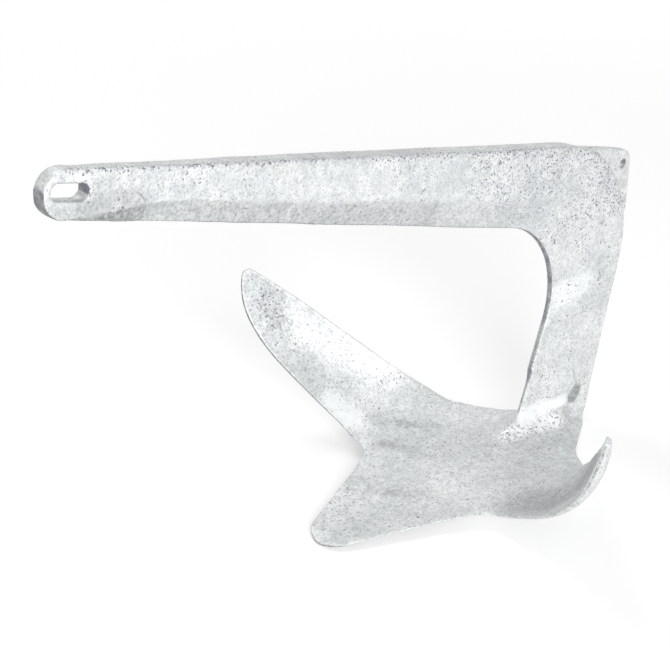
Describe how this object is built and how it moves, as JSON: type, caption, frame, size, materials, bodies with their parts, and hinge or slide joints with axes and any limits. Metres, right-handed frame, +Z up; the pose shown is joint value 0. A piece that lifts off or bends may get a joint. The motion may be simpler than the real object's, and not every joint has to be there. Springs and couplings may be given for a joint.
{
  "type": "claw anchor",
  "caption": "Cast claw anchor: tapered arm with a slotted shackle eye, kneed shank with a trip-line lug, and a scooped fluke with a toe and side claws.",
  "frame": {"origin": "on the ground, under the middle of the anchor's box, in its mirror plane", "axes": "+X from the heel to the shackle eye, +Y to the left claw, +Z up; it stands on the flat of its fluke"},
  "size_m": [0.5395, 0.3726, 0.3398],
  "materials": {
    "galvanised_steel": "hot-dip galvanised, mottled light grey with dark specks"
  },
  "bodies": {
    "root": {"claw_anchor": "galvanised_steel"}
  },
  "joints": []
}
